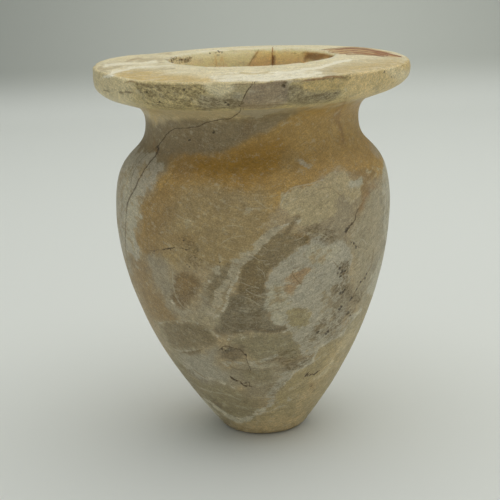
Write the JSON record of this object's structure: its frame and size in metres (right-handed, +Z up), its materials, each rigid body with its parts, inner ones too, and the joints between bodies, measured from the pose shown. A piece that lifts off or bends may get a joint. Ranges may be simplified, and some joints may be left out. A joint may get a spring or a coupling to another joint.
{
  "type": "canopic jar",
  "caption": "Open stone jar of the canopic kind, carved from one block: small flat foot, egg-shaped body, short neck, broad flat rim and a bored cavity.",
  "frame": {"origin": "the middle of the flat foot, on the surface that the jar stands on", "axes": "+Z up through the mouth; -Y faces the camera of the picture, and +X is the right of the picture"},
  "size_m": [0.1949, 0.195, 0.24],
  "materials": {
    "alabaster": "dull-polished, weathered banded calcite, honey brown and grey with pale clouds, veins, cracks and ingrained dirt"
  },
  "bodies": {
    "root": {"jar": "alabaster"}
  },
  "joints": []
}
